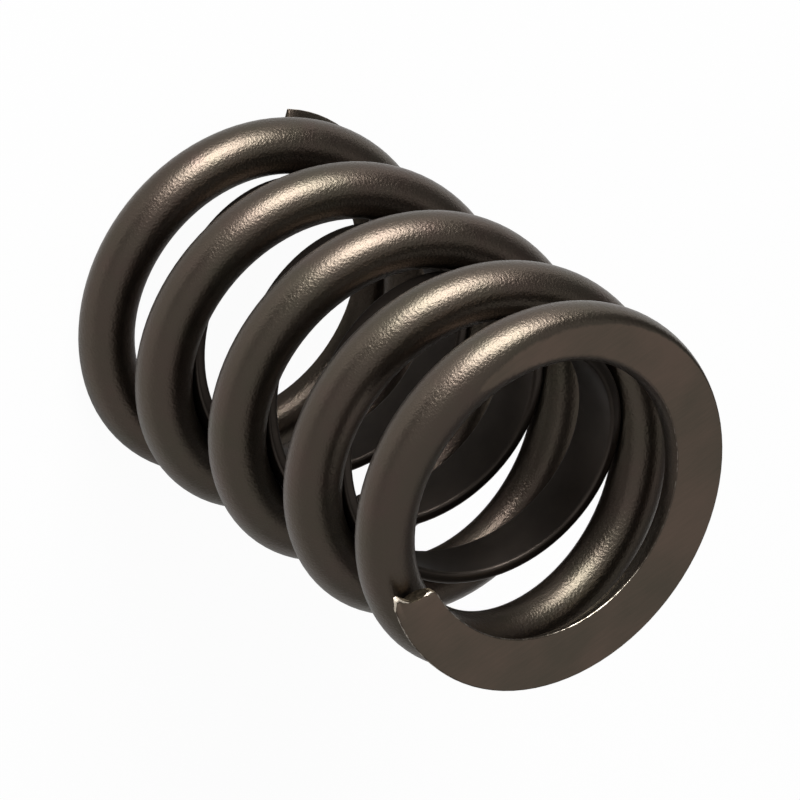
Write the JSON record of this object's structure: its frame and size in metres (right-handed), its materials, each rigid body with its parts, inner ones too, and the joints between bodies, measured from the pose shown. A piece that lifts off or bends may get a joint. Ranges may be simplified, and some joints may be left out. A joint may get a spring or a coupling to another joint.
{
  "type": "engine valve spring",
  "caption": "Steel engine valve spring wound from round wire, closed and ground flat at its ends, with a flat ribbon damper pressed inside its coils.",
  "frame": {"origin": "centre of the bottom ground face's circle, on the spring's axis", "axes": "+Z along the spring's axis, towards the ground end that the picture shows in front; the tip of the wire at that end is cut off at +X"},
  "size_m": [0.0318, 0.0318, 0.0452],
  "materials": {
    "spring_steel": "satin, shot peened, dark bronze grey",
    "damper_steel": "satin, rolled strip, dark grey"
  },
  "bodies": {
    "root": {"outer_spring": "spring_steel", "flat_damper": "damper_steel"}
  },
  "joints": []
}
